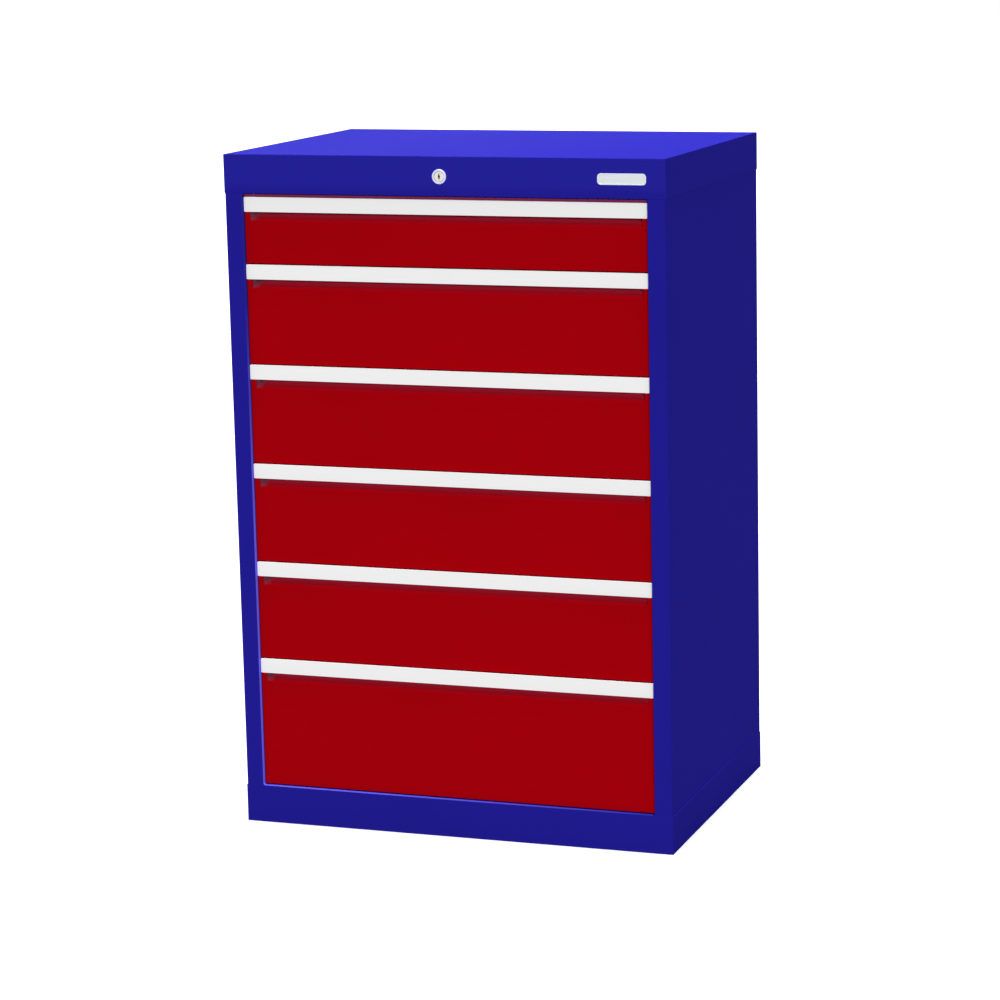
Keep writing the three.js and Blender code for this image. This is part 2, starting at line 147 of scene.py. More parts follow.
def make_floor():
    """A pale floor that throws little light back."""
    material = bpy.data.materials.new("floor")
    material.use_nodes = True
    tree = material.node_tree
    tree.nodes.clear()
    bounce = coloured(tree, "ShaderNodeBsdfDiffuse", FLOOR_BOUNCE)
    mirrored = coloured(tree, "ShaderNodeBsdfDiffuse", FLOOR_MIRRORED)
    pale = coloured(tree, "ShaderNodeBsdfDiffuse", FLOOR_SEEN)
    in_gloss = mixed(tree, light_path(tree, "Is Glossy Ray", "Is Transmission Ray"), bounce, mirrored)
    shown = mixed(tree, light_path(tree, "Is Camera Ray"), in_gloss, pale)
    out = tree.nodes.new("ShaderNodeOutputMaterial")
    tree.links.new(shown.outputs[0], out.inputs["Surface"])
    mesh = bpy.data.meshes.new("floor")
    half = FLOOR_SIDE / 2
    corners = [(-half, -half, 0), (half, -half, 0), (half, half, 0), (-half, half, 0)]
    mesh.from_pydata(corners, [], [(0, 1, 2, 3)])
    mesh.materials.append(material)
    floor = bpy.data.objects.new("floor", mesh)
    scene.collection.objects.link(floor)


def make_lamp(name, azimuth, elevation, strength, spread):
    data = bpy.data.lights.new(name, "SUN")
    data.energy = strength
    data.angle = math.radians(spread)
    lamp = bpy.data.objects.new(name, data)
    lamp.rotation_mode = "QUATERNION"
    lamp.rotation_quaternion = away(math.radians(azimuth), math.radians(elevation)).to_track_quat("Z", "Y")
    scene.collection.objects.link(lamp)


make_world()
make_floor()
make_lamp("top_lamp", **TOP_LAMP)
make_lamp("front_lamp", **FRONT_LAMP)
make_lamp("back_lamp", **BACK_LAMP)

# Finishes: paint and metal, whose tone, gloss and relief vary over each piece

EVEN = (1, 1, 1)
LENGTHWISE = (1, 0.02, 1)
UPWARD = (1, 1, 0.02)
ACROSS = (0.03, 1, 1)

NOISE_LIMITS = (0.3, 0.7)
FINE_DETAIL = 2
SOFT_DETAIL = 3

COAT_ROUGHNESS = 0.3
COAT_IOR = 1.5
CLOUD_SCALE = 5
PAINT_GLOSS_SCALE = 60
PAINT_ROUGHNESS = (0.42, 0.52)
PEEL_SCALE = 700
PEEL_DEPTH = 0.04 * MM

STREAK_SCALE = 900
STREAK_TONES = (0.96, 1.03)
STREAK_GLOSS_SCALE = 500
STREAK_ROUGHNESS = (-0.05, 0.07)
STREAK_RELIEF_SCALE = 1500
STREAK_DEPTH = 0.006 * MM

FLOWER_SCALE = 90
FLOWER_TONES = (0.9, 1.06)
DRAWN_GLOSS_SCALE = 40
DRAWN_ROUGHNESS = (-0.06, 0.08)
DRAWN_RELIEF_SCALE = 300
DRAWN_DEPTH = 0.02 * MM


def srgb(red, green, blue):
    """A written 0-255 colour as linear values."""
    def linear(value):
        share = value / 255
        return share / 12.92 if share <= 0.04045 else ((share + 0.055) / 1.055) ** 2.4
    return (*map(linear, (red, green, blue)), 1)


def scaled(colour, factor):
    return (*(min(value * factor, 1) for value in colour[:3]), 1)


def beyond(place, limits):
    """Limits that are counted from a place."""
    return [place + limit for limit in limits]


class Finish:
    """A principled material whose colour, roughness and relief vary over the piece's own coordinates."""

    def __init__(self, name, **sockets):
        self.material = bpy.data.materials.new(name)
        self.material.use_nodes = True
        self.tree = self.material.node_tree
        self.shader = self.tree.nodes["Principled BSDF"]
        for socket, value in sockets.items():
            self.shader.inputs[socket.replace("_", " ")].default_value = value
        coordinates = self.tree.nodes.new("ShaderNodeTexCoord")
        self.place = coordinates.outputs["Object"]
        self.facing = coordinates.outputs["Normal"]

    def noise(self, scale, detail, grain=EVEN):
        mapping = self.tree.nodes.new("ShaderNodeMapping")
        mapping.inputs["Scale"].default_value = grain
        self.tree.links.new(self.place, mapping.inputs["Vector"])
        node = self.tree.nodes.new("ShaderNodeTexNoise")
        node.inputs["Scale"].default_value = scale
        node.inputs["Detail"].default_value = detail
        self.tree.links.new(mapping.outputs[0], node.inputs["Vector"])
        return node.outputs["Fac"]

    def cells(self, scale):
        node = self.tree.nodes.new("ShaderNodeTexVoronoi")
        node.inputs["Scale"].default_value = scale
        self.tree.links.new(self.place, node.inputs["Vector"])
        return node.outputs["Color"]

    def spread(self, value, first, last, start, stop):
        """From a first number to a last one, while a value goes from its start to its stop."""
        node = self.tree.nodes.new("ShaderNodeMapRange")
        self.tree.links.new(value, node.inputs["Value"])
        for name, number in (("From Min", start), ("From Max", stop), ("To Min", first), ("To Max", last)):
            node.inputs[name].default_value = number
        return node.outputs["Result"]

    def rise(self, value, start, stop):
        return self.spread(value, 0, 1, start, stop)

    def fall(self, value, start, stop):
        return self.spread(value, 1, 0, start, stop)

    def colours(self, value, first, second):
        node = self.tree.nodes.new("ShaderNodeMix")
        node.data_type = "RGBA"
        node.inputs["A"].default_value = first
        node.inputs["B"].default_value = second
        self.tree.links.new(value, node.inputs["Factor"])
        self.tree.links.new(node.outputs["Result"], self.shader.inputs["Base Color"])

    def overlaid(self, value, colour):
        """The colour as it is, mixed with another one where a value is 1."""
        socket = self.shader.inputs["Base Color"]
        before = socket.links[0].from_socket
        node = self.tree.nodes.new("ShaderNodeMix")
        node.data_type = "RGBA"
        self.tree.links.new(before, node.inputs["A"])
        node.inputs["B"].default_value = colour
        self.tree.links.new(value, node.inputs["Factor"])
        self.tree.links.new(node.outputs["Result"], socket)

    def rough(self, value, low, high):
        self.tree.links.new(self.spread(value, low, high, *NOISE_LIMITS), self.shader.inputs["Roughness"])

    def relief(self, value, depth, sockets=("Normal",)):
        bump = self.tree.nodes.new("ShaderNodeBump")
        bump.inputs["Distance"].default_value = depth
        self.tree.links.new(value, bump.inputs["Height"])
        for socket in sockets:
            self.tree.links.new(bump.outputs[0], self.shader.inputs[socket])

    def parts(self, vector):
        node = self.tree.nodes.new("ShaderNodeSeparateXYZ")
        self.tree.links.new(vector, node.inputs[0])
        return node.outputs

    def maths(self, operation, *values):
        node = self.tree.nodes.new("ShaderNodeMath")
        node.operation = operation
        for socket, value in zip(node.inputs, values):
            self.tree.links.new(value, socket)
        return node.outputs[0]

    def product(self, first, *others):
        for other in others:
            first = self.maths("MULTIPLY", first, other)
        return first


def powder_coat(name, colour, gloss, tone=0.03, grain=EVEN, tints=()):
    """Baked powder coat: fine orange peel, faint clouds in its colour, and a thin clear gloss.

    Each tint is a function that gives the places where light or shade is painted into the colour, and the
    colour painted there.
    """
    finish = Finish(
        name, Specular_IOR_Level=0.0, Coat_Weight=gloss, Coat_Roughness=COAT_ROUGHNESS, Coat_IOR=COAT_IOR,
    )
    clouds = finish.rise(finish.noise(CLOUD_SCALE, SOFT_DETAIL, grain), *NOISE_LIMITS)
    finish.colours(clouds, scaled(colour, 1 - tone), scaled(colour, 1 + tone))
    for places, tint in tints:
        finish.overlaid(places(finish), tint)
    finish.rough(finish.noise(PAINT_GLOSS_SCALE, SOFT_DETAIL), *PAINT_ROUGHNESS)
    finish.relief(finish.noise(PEEL_SCALE, FINE_DETAIL), PEEL_DEPTH, ("Normal", "Coat Normal"))
    return finish.material


def brushed(name, colour, rough, grain):
    """Brushed metal: fine streaks along its grain in its tone, gloss and relief."""
    finish = Finish(name, Metallic=1.0)
    streaks = finish.rise(finish.noise(STREAK_SCALE, FINE_DETAIL, grain), *NOISE_LIMITS)
    finish.colours(streaks, *(scaled(colour, tone) for tone in STREAK_TONES))
    gloss = finish.noise(STREAK_GLOSS_SCALE, FINE_DETAIL, grain)
    finish.rough(gloss, *beyond(rough, STREAK_ROUGHNESS))
    finish.relief(finish.noise(STREAK_RELIEF_SCALE, FINE_DETAIL, grain), STREAK_DEPTH)
    return finish.material


def plated(name, colour, rough, grain=EVEN):
    """Plated or galvanised steel: faint flowers in the zinc and a drawn grain."""
    finish = Finish(name, Metallic=1.0)
    finish.colours(finish.cells(FLOWER_SCALE), *(scaled(colour, tone) for tone in FLOWER_TONES))
    gloss = finish.noise(DRAWN_GLOSS_SCALE, SOFT_DETAIL, grain)
    finish.rough(gloss, *beyond(rough, DRAWN_ROUGHNESS))
    finish.relief(finish.noise(DRAWN_RELIEF_SCALE, SOFT_DETAIL, grain), DRAWN_DEPTH)
    return finish.material


# Places where light and shade are painted into the colour. A turn is one part of the direction in which a
# surface faces

FACE_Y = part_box("drawer_1_front")[0].y
HEAD_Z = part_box("back_panel")[1].z

# Where the painted highlight round the opening lies, and how it fades up the reveals
OPENING_GAP = 1.25 * MM
OPENING_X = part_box("drawer_1_front")[1].x + OPENING_GAP
OPENING_DEPTHS = (-1 * MM, 1 * MM)
OPENING_SIDES = (0.4 * MM, 0.8 * MM)
OPENING_HEAD = (-0.2 * MM, 0)
REVEAL_HEIGHTS = (0.45, 0.80)
REVEAL_SHARE = 0.1
RIGHT_REVEAL_SHARE = 0.1
SILL_SHARE = 0.68
SILL_TURN = (0.5, 1)
CORNER_TURN = (0.5, 0.8)
UNDERSIDE_TURN = (-0.5, -0.2)

# The band's front is painted a lighter blue: painted light
BAND_HEIGHTS = (5 * MM, 16 * MM)
BAND_TURN = (-0.9, -0.5)
# The cover's top is painted darker towards the right: painted shade
COVER_SIDES = (-0.16, 0.28)
COVER_HEIGHTS = (0, 10 * MM)
COVER_TURN = (0.9, 0.98)

# The finger scoops, where light, a reflection and a sheen are painted into the red
SCOOP_INSET = 8 * MM
SCOOP_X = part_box("drawer_1_front")[1].x - SCOOP_INSET
SCOOP_SIDES = (0.5 * MM, 1.5 * MM)
SCOOP_LEVEL_TURN = (0.96, 0.99)
SCOOP_REAR_TURN = (0.1, 0.3)
SCOOP_FRONT_TURN = (-0.2, -0.1)
SCOOP_MOUTH_DEPTHS = (0.3 * MM, 2.5 * MM)
SCOOP_DEPTHS = (3 * MM, 17 * MM)
LEFT_END_SIDES = (1 * MM, 12 * MM)
LEFT_END_DEPTHS = (0.5 * MM, 6 * MM)
RIGHT_END_SIDES = (-9 * MM, -3 * MM)
RIGHT_END_DEPTHS = (5 * MM, 15 * MM)


def opening_painted_highlight(finish):
    """1 on the reveals, the sill and the round corners of the opening, as far back as the drawer fronts: a
    painted highlight, as if light caught these folds.
    """
    side, depth, height = finish.parts(finish.place)
    _, rearward, upward = finish.parts(finish.facing)
    return finish.product(
        finish.fall(depth, *beyond(FACE_Y, OPENING_DEPTHS)),
        finish.fall(finish.maths("ABSOLUTE", side), *beyond(OPENING_X, OPENING_SIDES)),
        finish.spread(height, 1, REVEAL_SHARE, *REVEAL_HEIGHTS),
        finish.fall(height, *beyond(HEAD_Z, OPENING_HEAD)),
        finish.spread(side, 1, RIGHT_REVEAL_SHARE, -OPENING_X, OPENING_X),
        finish.spread(upward, 1, SILL_SHARE, *SILL_TURN),
        finish.fall(finish.maths("ABSOLUTE", rearward), *CORNER_TURN),
        finish.rise(upward, *UNDERSIDE_TURN),
    )


def band_painted_light(finish):
    """From 0 to 1 up the front face of the cover's band, where a lighter blue is painted as if more light
    fell there: painted light.
    """
    height = finish.parts(finish.place)[2]
    rearward = finish.parts(finish.facing)[1]
    return finish.product(
        finish.rise(height, *beyond(HEAD_Z, BAND_HEIGHTS)),
        finish.fall(rearward, *BAND_TURN),
    )


def cover_painted_shade(finish):
    """From 0 to 1 along the top of the cover, from left to right, where a deeper blue is painted: painted
    shade that leaves the left end lighter.
    """
    side, _, height = finish.parts(finish.place)
    upward = finish.parts(finish.facing)[2]
    return finish.product(
        finish.rise(side, *COVER_SIDES),
        finish.rise(height, *beyond(HEAD_Z, COVER_HEIGHTS)),
        finish.rise(upward, *COVER_TURN),
    )


def in_scoop(finish, depths):
    """From 0 to 1 between two depths below a front's face, within the width of its finger scoop."""
    side, depth, _ = finish.parts(finish.place)
    _, rearward, upward = finish.parts(finish.facing)
    return finish.product(
        finish.rise(depth, *beyond(FACE_Y, depths)),
        finish.fall(finish.maths("ABSOLUTE", side), *beyond(SCOOP_X, SCOOP_SIDES)),
        finish.fall(finish.maths("ABSOLUTE", upward), *SCOOP_LEVEL_TURN),
        finish.fall(rearward, *SCOOP_REAR_TURN),
    )


def on_slope(finish, depths):
    """The part of a scoop that looks to the front, which its two end walls don't."""
    rearward = finish.parts(finish.facing)[1]
    return finish.product(in_scoop(finish, depths), finish.fall(rearward, *SCOOP_FRONT_TURN))


def scoop_mouth_painted_light(finish):
    """The slope from just below the face, painted a lighter red against its own shade: painted light."""
    return on_slope(finish, SCOOP_MOUTH_DEPTHS)


def scoop_painted_reflection(finish):
    """The slope, more so the deeper it lies, where a lighter red with a lilac cast is painted: painted light
    and a painted reflection in the scoop's shade.
    """
    return on_slope(finish, SCOOP_DEPTHS)


def scoop_left_painted_sheen(finish):
    """The left end of a scoop, with the wall that closes it, painted a greyish red: a painted sheen."""
    side = finish.parts(finish.place)[0]
    near = finish.fall(side, *beyond(-SCOOP_X, LEFT_END_SIDES))
    return finish.product(in_scoop(finish, LEFT_END_DEPTHS), near)


def scoop_right_painted_light(finish):
    """The deep part of a scoop near its right end, painted a brighter red over the shadow that the end wall
    casts: painted light.
    """
    side = finish.parts(finish.place)[0]
    near = finish.rise(side, *beyond(SCOOP_X, RIGHT_END_SIDES))
    return finish.product(in_scoop(finish, RIGHT_END_DEPTHS), near)


BLUE = (0.0128, 0.0104, 0.252, 1)
# Painted light: the lighter blue of the band's front
LIT_BAND_BLUE = (0.0158, 0.0135, 0.280, 1)
# Painted shade: the deeper blue towards the right of the cover's top
SHADED_TOP_BLUE = (0.0074, 0.0054, 0.2485, 1)
# Painted highlight: the pale blue on the reveals and sill of the opening
HIGHLIGHT_BLUE = (0.185, 0.15, 1.0, 1)
RED = (0.325, 0.0001, 0.003, 1)
# Painted light and painted reflection: a lighter, lilac red deep in each scoop's shade
REFLECTION_RED = (0.66, 0.025, 0.067, 1)
# Painted light: the lighter red at the mouth of each scoop
LIT_RED = (0.365, 0.002, 0.008, 1)
# Painted sheen: a greyish red on the left end of each scoop
SHEEN_RED = (0.26, 0.07, 0.13, 1)
# Painted light over the shadow that each scoop's right end wall casts
LIGHTENED_SHADOW_RED = (1.0, 0.05, 0.13, 1)
# Painted shade: the dark bluish red of the upstand under the top band
SHADED_LIP_RED = (0.20, 0.025, 0.085, 1)
WHITE = (0.81, 0.81, 0.81, 1)
GREY = srgb(142, 149, 152)
ZINC = (0.60, 0.62, 0.64, 1)
NICKEL = (0.64, 0.64, 0.58, 1)
RING = (0.56, 0.56, 0.72, 1)
PLATE = (0.60, 0.63, 0.66, 1)

body_paint = powder_coat("body_paint", BLUE, gloss=0.015, tints=(
    (band_painted_light, LIT_BAND_BLUE), (cover_painted_shade, SHADED_TOP_BLUE), (opening_painted_highlight, HIGHLIGHT_BLUE),
))
front_paint = powder_coat("front_paint", RED, gloss=0.015, tints=(
    (scoop_mouth_painted_light, LIT_RED), (scoop_painted_reflection, REFLECTION_RED), (scoop_left_painted_sheen, SHEEN_RED), (scoop_right_painted_light, LIGHTENED_SHADOW_RED),
))
# The upstand's paint is painted shade from the band above it
shaded_lip_paint = powder_coat("shaded_lip_paint", SHADED_LIP_RED, gloss=0.0)
strip_paint = powder_coat("handle_strip", WHITE, gloss=0.03, tone=0.01, grain=ACROSS)
box_paint = powder_coat("box_paint", GREY, gloss=0.06)
runner_steel = plated("runner_steel", ZINC, rough=0.32, grain=LENGTHWISE)
inner_steel = plated("inner_steel", ZINC, rough=0.4, grain=UPWARD)
rivet_metal = plated("rivet_metal", ZINC, rough=0.4)
lock_metal = brushed("lock_metal", NICKEL, rough=0.5, grain=EVEN)
ring_metal = brushed("ring_metal", RING, rough=0.62, grain=EVEN)
plate_metal = brushed("nameplate", PLATE, rough=0.45, grain=ACROSS)

# Mesh helpers

WELD = 0.01 * MM
FLAT_ANGLE = math.radians(0.5)
ROUND_FACET = 2.5 * MM
FOLD_ANGLE = math.radians(50)
FACET_ANGLES = (math.radians(2), math.radians(40))
CIRCULAR = 0.5
BEND_RADIUS = 2 * MM
BEND_SEGMENTS = 4
BEND_WIDTH = 6 * MM
EDGE_CUT = 0.25 * MM
CORNER_STEPS = 4


def narrowest(face):
    """The least width of a flat face, from its area and its longest side."""
    return face.calc_area() / max(edge.calc_length() for edge in face.edges)


def clean_copy(node):
    """A node's solid with whole flat faces in place of its triangles.

    Only the facets of round forms are smooth.
    The middle planes stay as seams, so that no face runs round a hole.
    """
    shape = bmesh.new()
    shape.from_mesh(nodes[node].data)
    bmesh.ops.remove_doubles(shape, verts=shape.verts, dist=WELD)
    low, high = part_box(node)
    for normal in ((1, 0, 0), (0, 1, 0), (0, 0, 1)):
        made = bmesh.ops.bisect_plane(
            shape, geom=shape.verts[:] + shape.edges[:] + shape.faces[:], dist=WELD,
            plane_co=(low + high) / 2, plane_no=normal,
        )
        for part in made["geom_cut"]:
            if isinstance(part, bmesh.types.BMEdge):
                part.seam = True
    bmesh.ops.dissolve_limit(
        shape, angle_limit=FLAT_ANGLE, use_dissolve_boundaries=False,
        verts=shape.verts, edges=shape.edges, delimit={"SEAM"},
    )
    shape.normal_update()
    for face in shape.faces:
        face.smooth = False
    least, most = FACET_ANGLES
    for edge in shape.edges:
        if len(edge.link_faces) == 2 and least < abs(edge.calc_face_angle_signed()) < most:
            for face in edge.link_faces:
                face.smooth = face.smooth or narrowest(face) < ROUND_FACET
    return shape


def sharp_edges(shape, least_width=0):
    """The outward edges between faces that are both at least so wide."""
    return [
        edge for edge in shape.edges
        if len(edge.link_faces) == 2
        and edge.calc_face_angle_signed() > FOLD_ANGLE
        and all(narrowest(face) > least_width for face in edge.link_faces)
    ]


def rounded(shape, edges, radius, segments):
    if not edges:
        return
    made = bmesh.ops.bevel(
        shape, geom=edges, offset=radius, offset_type="OFFSET", segments=segments, profile=CIRCULAR,
        affect="EDGES", clamp_overlap=True,
    )
    for face in made["faces"]:
        face.smooth = True


def even_normals(mesh):
    """Flat faces shade flat up to their edges, and the round faces between them turn smoothly."""
    flat, turning = {}, {}
    for face in mesh.polygons:
        for vertex in face.vertices:
            if face.use_smooth:
                turning[vertex] = turning.get(vertex, Vector()) + face.normal * face.area
            else:
                flat.setdefault(vertex, []).append(face.normal.copy())
    normals = []
    for face in mesh.polygons:
        for vertex in face.vertices:
            normal = face.normal.copy()
            if face.use_smooth:
                nearest = max(flat.get(vertex, []), key=normal.dot, default=None)
                if nearest is not None and nearest.dot(normal) > math.cos(FOLD_ANGLE):
                    normal = nearest
                else:
                    normal = turning[vertex].normalized()
            normals.append(normal)
    for face in mesh.polygons:
        face.use_smooth = True
    mesh.normals_split_custom_set(normals)


def finished(name, mesh, body, material, slot, *replaced):
    """An object of a mesh that rides on a body, and stands for the nodes that it replaces."""
    mesh.materials.clear()
    mesh.materials.append(material)
    for face in mesh.polygons:
        face.material_index = 0
    even_normals(mesh)
    piece = bpy.data.objects.new(name, mesh)
    scene.collection.objects.link(piece)
    if replaced:
        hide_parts(*replaced)
    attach(piece, body)


def mesh_of(name, shape):
    mesh = bpy.data.meshes.new(name)
    shape.to_mesh(mesh)
    shape.free()
    return mesh


def cut_out(mesh, tool_mesh):
    """A mesh less the shapes of another one."""
    whole = bpy.data.objects.new("whole", mesh)
    tool = bpy.data.objects.new("tool", tool_mesh)
    for piece in (whole, tool):
        scene.collection.objects.link(piece)
    cut = whole.modifiers.new("cut", "BOOLEAN")
    cut.operation = "DIFFERENCE"
    cut.solver = "MANIFOLD"
    cut.object = tool
    rest = bpy.data.meshes.new_from_object(whole.evaluated_get(bpy.context.evaluated_depsgraph_get()))
    for piece in (whole, tool):
        bpy.data.objects.remove(piece)
    return rest


def blocks(name, ranges):
    """Boxes, each from its ranges in x, y and z."""
    shape = bmesh.new()
    for spans in ranges:
        size = Matrix.Diagonal([high - low for low, high in spans]).to_4x4()
        centre = Vector([(low + high) / 2 for low, high in spans])
        bmesh.ops.create_cube(shape, size=1, matrix=Matrix.Translation(centre) @ size)
    for face in shape.faces:
        face.smooth = False
    return mesh_of(name, shape)


def dressed(node, body, material, slot, radius=BEND_RADIUS, segments=BEND_SEGMENTS, least_width=BEND_WIDTH,
            cut=EDGE_CUT, less=None):
    """A node's solid with its bend radii, eased edges and what is punched out of it.

    Edges between faces of a least width get the radius, and what stays sharp is cut by a narrow chamfer.
    """
    name = node + "_dressed"
    shape = clean_copy(node)
    rounded(shape, sharp_edges(shape, least_width), radius, segments)
    rounded(shape, sharp_edges(shape), cut, 1)
    mesh = mesh_of(name, shape)
    if less:
        mesh = cut_out(mesh, less)
        mesh.name = name
    finished(name, mesh, body, material, slot, node)


def spread_evenly(low, high, pitch):
    """Places at a pitch, centred between two limits."""
    count = int((high - low) / pitch)
    first = (low + high - count * pitch) / 2
    return [first + index * pitch for index in range(count + 1)]


def turned(shape, profile, x, z, steps):
    """Adds a closed profile of radii and depths, turned about an axis along Y."""
    points = [shape.verts.new((x + radius, y, z)) for radius, y in profile]
    edges = [shape.edges.new(pair) for pair in zip(points, points[1:] + points[:1])]
    before = set(shape.faces)
    bmesh.ops.spin(
        shape, geom=points + edges, cent=(x, 0, z), axis=(0, 1, 0), dvec=(0, 0, 0),
        angle=2 * math.pi, steps=steps, use_merge=True, use_duplicate=False,
    )
    made = [face for face in shape.faces if face not in before]
    bmesh.ops.recalc_face_normals(shape, faces=made)
    for face in made:
        face.smooth = True


def drawn_out(outline, axis, place):
    """A prism from a flat outline, whose far end lies at a place along an axis."""
    shape = bmesh.new()
    end = shape.faces.new([shape.verts.new(point) for point in outline])
    for part in bmesh.ops.extrude_face_region(shape, geom=[end])["geom"]:
        if isinstance(part, bmesh.types.BMVert):
            part.co[axis] = place
    bmesh.ops.recalc_face_normals(shape, faces=shape.faces)
    return shape


def softened(points, radii, steps=CORNER_STEPS):
    """A closed outline in a plane, whose corners have each their own radius."""
    result = []
    count = len(points)
    for index, radius in enumerate(radii):
        before, corner, after = (Vector(points[(index + shift) % count]) for shift in (-1, 0, 1))
        if not radius:
            result.append(tuple(corner))
            continue
        start = corner + (before - corner).normalized() * radius
        stop = corner + (after - corner).normalized() * radius
        for step in range(steps + 1):
            share = step / steps
            place = start * (1 - share) ** 2 + corner * 2 * share * (1 - share) + stop * share ** 2
            result.append(tuple(place))
    return result


# Carcass

CARCASS_EDGES = {"radius": 1.4 * MM, "cut": 0.06 * MM}
BACK_EDGES = {"cut": 0.4 * MM}
RIVET_PITCH = 75 * MM
RIVET_INSET = 12 * MM
RIVET_STEPS = 16
# Radii, and depths below the panel's face, in millimetres
RIVET_HEAD = ((0.7, 0.7), (0.7, 0.25), (0.95, 0.05), (1.6, 0.02), (2.3, 0.15), (2.7, 0.4), (2.7, 0.7))
DIMPLE_RADIUS = 3.6 * MM
DIMPLE_DEPTH = 0.5 * MM
DIMPLE_STEPS = {"u_segments": 16, "v_segments": 8}


def rivet_places():
    """Where the rivets sit along the four edges of the back panel."""
    low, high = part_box("back_panel")
    left, right = low.x + RIVET_INSET, high.x - RIVET_INSET
    foot, head = low.z + RIVET_INSET, high.z - RIVET_INSET
    upright = [(x, z) for x in (left, right) for z in spread_evenly(foot, head, RIVET_PITCH)]
    return upright + [(x, z) for z in (foot, head) for x in spread_evenly(left, right, RIVET_PITCH)[1:-1]]


def rivet_dimples(places, y):
    """Flat lenses, pressed into a sheet round each rivet."""
    shape = bmesh.new()
    flat = Matrix.Diagonal((1, DIMPLE_DEPTH / DIMPLE_RADIUS, 1)).to_4x4()
    for x, z in places:
        place = Matrix.Translation((x, y, z)) @ flat
        bmesh.ops.create_uvsphere(shape, radius=DIMPLE_RADIUS, matrix=place, **DIMPLE_STEPS)
    for face in shape.faces:
        face.smooth = True
    return mesh_of("dimples", shape)


def back_and_rivets():
    places = rivet_places()
    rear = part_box("back_panel")[1].y
    dimples = rivet_dimples(places, rear)
    dressed("back_panel", "cabinet", body_paint, "body_paint", less=dimples, **BACK_EDGES)
    head = [(radius * MM, rear - depth * MM) for radius, depth in RIVET_HEAD]
    shape = bmesh.new()
    for x, z in places:
        turned(shape, head, x, z, RIVET_STEPS)
    finished("back_rivets", mesh_of("back_rivets", shape), "cabinet", rivet_metal, "inner_steel")


for node in ("top_cover", "base", "side_panel_left", "side_panel_right"):
    dressed(node, "cabinet", body_paint, "body_paint", **CARCASS_EDGES)
back_and_rivets()

# Drawers

DRAWER_COUNT = 6
FRONT_EDGES = {"radius": 1.5 * MM, "segments": 3}
STRIP_EDGES = {"radius": 0.6 * MM, "segments": 3, "least_width": 1.5 * MM, "cut": 0.3 * MM}
BOX_EDGES = {"radius": 1 * MM, "segments": 3, "cut": 0.15 * MM}
RUNNER_EDGES = {"radius": 1.2 * MM, "segments": 3, "cut": 0.15 * MM}
SLOT_PITCH = 17 * MM
SLOT_WIDTH = 3 * MM
SLOT_HEIGHT = 20 * MM
SLOT_GAP = 8 * MM
SLOT_MARGIN = 12 * MM
BOX_X = 298 * MM
BOX_FRONT_Y = -208 * MM
BOX_SHEET = 1 * MM
BOX_LIFT = 4 * MM
BOX_DROP = 26 * MM
LIP_HEIGHT = 4 * MM
LIP_FOOT = 8 * MM
LIP_SHEET = 0.8 * MM
LIP_RADIUS = 0.2 * MM
LIP_SEGMENTS = 2


def wall_slots(number):
    """Rows of upright slots for dividers in the side walls and the rear wall of a drawer box."""
    front_low, front_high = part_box(f"drawer_{number}_front")
    floor, top = front_low.z + BOX_LIFT, front_high.z - BOX_DROP
    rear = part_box(f"drawer_{number}_box")[1].y
    rows = int((top - floor - SLOT_GAP) / (SLOT_HEIGHT + SLOT_GAP))
    heads = [top - SLOT_GAP - row * (SLOT_HEIGHT + SLOT_GAP) for row in range(rows)]
    within = BOX_SHEET / 2
    ranges = []
    for head in heads:
        height = (head - SLOT_HEIGHT, head)
        for y in spread_evenly(BOX_FRONT_Y + SLOT_MARGIN, rear - SLOT_MARGIN, SLOT_PITCH):
            depth = (y - SLOT_WIDTH / 2, y + SLOT_WIDTH / 2)
            for side in (-1, 1):
                width = sorted((side * (BOX_X + within), side * (BOX_X - BOX_SHEET - within)))
                ranges.append((width, depth, height))
        for x in spread_evenly(SLOT_MARGIN - BOX_X, BOX_X - SLOT_MARGIN, SLOT_PITCH):
            width = (x - SLOT_WIDTH / 2, x + SLOT_WIDTH / 2)
            ranges.append((width, (rear - BOX_SHEET - within, rear + within), height))
    return blocks("slots", ranges)


def dust_lip():
    """A low upstand on the topmost front, which closes part of the wide gap below the top band. Its darker,
    bluish red is painted shade from the band above.
    """
    low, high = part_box("drawer_1_front")
    front, back = low.y, low.y + LIP_SHEET
    foot, head = high.z, high.z + LIP_HEIGHT
    outline = [
        (front, foot), (front + LIP_FOOT, foot), (front + LIP_FOOT, foot + LIP_SHEET),
        (back, foot + LIP_SHEET), (back, head), (front, head),
    ]
    shape = drawn_out([(low.x, y, z) for y, z in outline], axis=0, place=high.x)
    rounded(shape, sharp_edges(shape), LIP_RADIUS, LIP_SEGMENTS)
    finished("drawer_1_dust_lip", mesh_of("drawer_1_dust_lip", shape), "drawer_1", shaded_lip_paint, "front_paint")


def drawer(number):
    """A drawer with its runners on either side."""
    body = f"drawer_{number}"
    dressed(f"{body}_front", body, front_paint, "front_paint", **FRONT_EDGES)
    dressed(f"{body}_handle_strip", body, strip_paint, "handle_strip", **STRIP_EDGES)
    dressed(f"{body}_box", body, box_paint, "box_paint", less=wall_slots(number), **BOX_EDGES)
    for side in ("left", "right"):
        middle, rail = f"{body}_middle_runner_{side}", f"{body}_cabinet_rail_{side}"
        dressed(middle, f"{body}_middle_runners", runner_steel, "runner_steel", **RUNNER_EDGES)
        dressed(rail, "cabinet", runner_steel, "runner_steel", **RUNNER_EDGES)


for number in range(1, DRAWER_COUNT + 1):
    drawer(number)
dust_lip()

# Inside

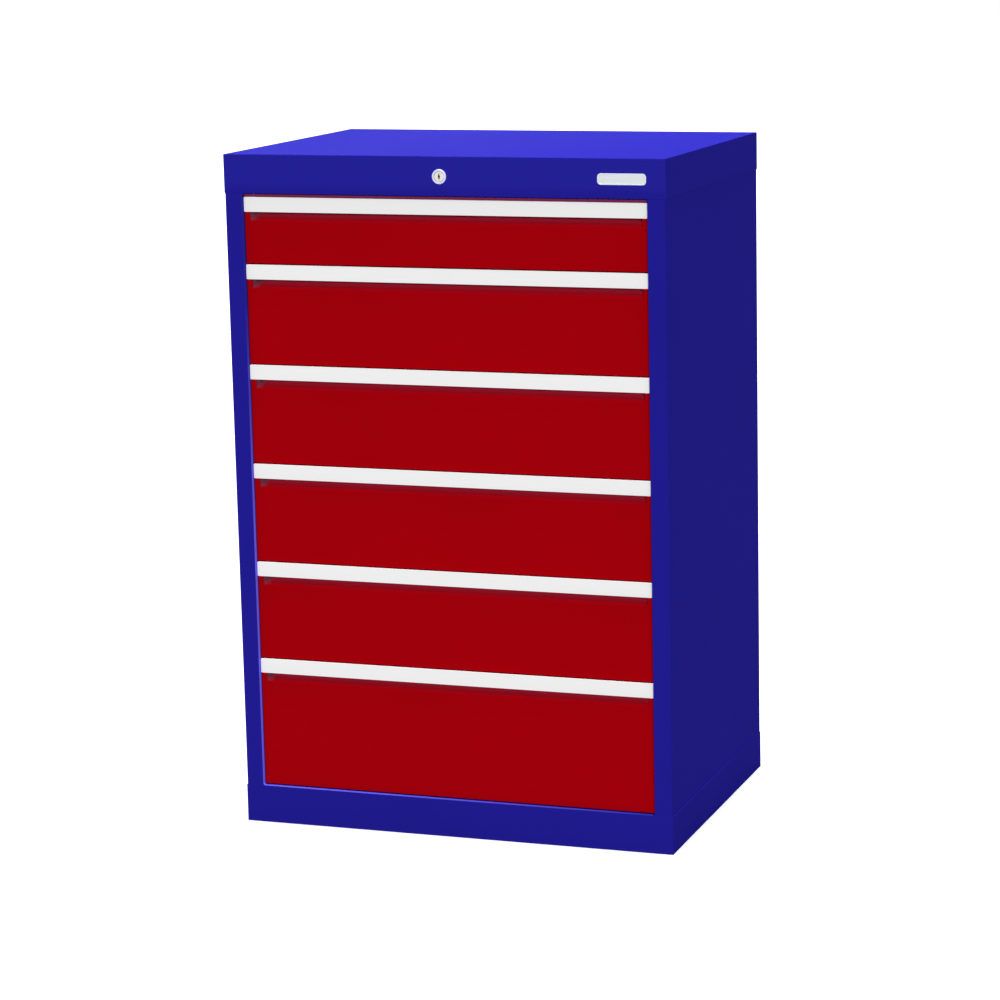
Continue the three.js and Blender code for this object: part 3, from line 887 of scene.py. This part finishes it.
UPRIGHT_EDGES = {"radius": 1.5 * MM, "segments": 3, "cut": 0.15 * MM}
BRACKET_EDGES = {"radius": 1 * MM, "segments": 3, "cut": 0.2 * MM}
BAR_EDGES = {"radius": 0.5 * MM, "segments": 2, "cut": 0.2 * MM}
SPINDLE_EDGES = {"radius": 0.4 * MM, "segments": 2, "cut": 0.2 * MM}

for place in ("front", "rear"):
    for side in ("left", "right"):
        dressed(f"upright_{place}_{side}", "cabinet", inner_steel, "inner_steel", **UPRIGHT_EDGES)
for node in ("spindle_bracket", "locking_bar_guide_lower", "locking_bar_guide_upper"):
    dressed(node, "cabinet", inner_steel, "inner_steel", **BRACKET_EDGES)
dressed("locking_bar", "locking_bar", inner_steel, "inner_steel", **BAR_EDGES)
dressed("lock_spindle", "lock_cylinder", inner_steel, "inner_steel", **SPINDLE_EDGES)
dressed("lock_nut", "cabinet", lock_metal, "lock_metal", **SPINDLE_EDGES)

# Lock face and nameplate

PLUG_EDGES = {"radius": 0.3 * MM, "segments": 2, "cut": 0.15 * MM}
LATHE_STEPS = 96
BEZEL_LIP = 1.25 * MM
BEZEL_ROUNDS = (0.5 * MM, 0.8 * MM)
PLUG_GAP = 0.25 * MM
PLATE_CORNER = 5.8 * MM
PLATE_CORNER_STEPS = 8
PLATE_EDGE = 0.25 * MM
PLATE_EDGE_STEPS = 3
PLATE_RIM = 0.9 * MM
PLATE_SUNK = 0.12 * MM


def lock_housing():
    """The housing about the plug, with a round bezel in front of the band."""
    low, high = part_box("lock_housing")
    plug_low, plug_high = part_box("lock_plug")
    body_radius = high.x - BEZEL_LIP
    bore = plug_high.x + PLUG_GAP
    band_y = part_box("top_cover")[0].y
    outline = [
        (bore, high.y), (bore, low.y), (high.x, low.y), (high.x, band_y), (body_radius, band_y),
        (body_radius, high.y),
    ]
    shape = bmesh.new()
    profile = softened(outline, (0, *BEZEL_ROUNDS, 0, 0, 0))
    turned(shape, profile, 0, (plug_low.z + plug_high.z) / 2, LATHE_STEPS)
    finished("lock_housing_dressed", mesh_of("lock_housing_dressed", shape), "cabinet", ring_metal,
             "lock_metal", "lock_housing")


def foremost(shape):
    return min(shape.faces, key=lambda face: face.calc_center_median().y)


def nameplate():
    """A bare plate with round corners and a narrow rim about its field."""
    low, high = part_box("nameplate")
    corners = [(low.x, low.z), (high.x, low.z), (high.x, high.z), (low.x, high.z)]
    outline = softened(corners, (PLATE_CORNER,) * len(corners), PLATE_CORNER_STEPS)
    shape = drawn_out([(x, high.y, z) for x, z in outline], axis=1, place=low.y)
    rounded(shape, foremost(shape).edges[:], PLATE_EDGE, PLATE_EDGE_STEPS)
    field = foremost(shape)
    bmesh.ops.inset_individual(shape, faces=[field], thickness=PLATE_RIM, depth=0)
    bmesh.ops.inset_individual(shape, faces=[field], thickness=PLATE_SUNK, depth=-PLATE_SUNK)
    finished("nameplate_dressed", mesh_of("nameplate_dressed", shape), "cabinet", plate_metal,
             "nameplate", "nameplate")


lock_housing()
dressed("lock_plug", "lock_cylinder", lock_metal, "lock_metal", **PLUG_EDGES)
nameplate()
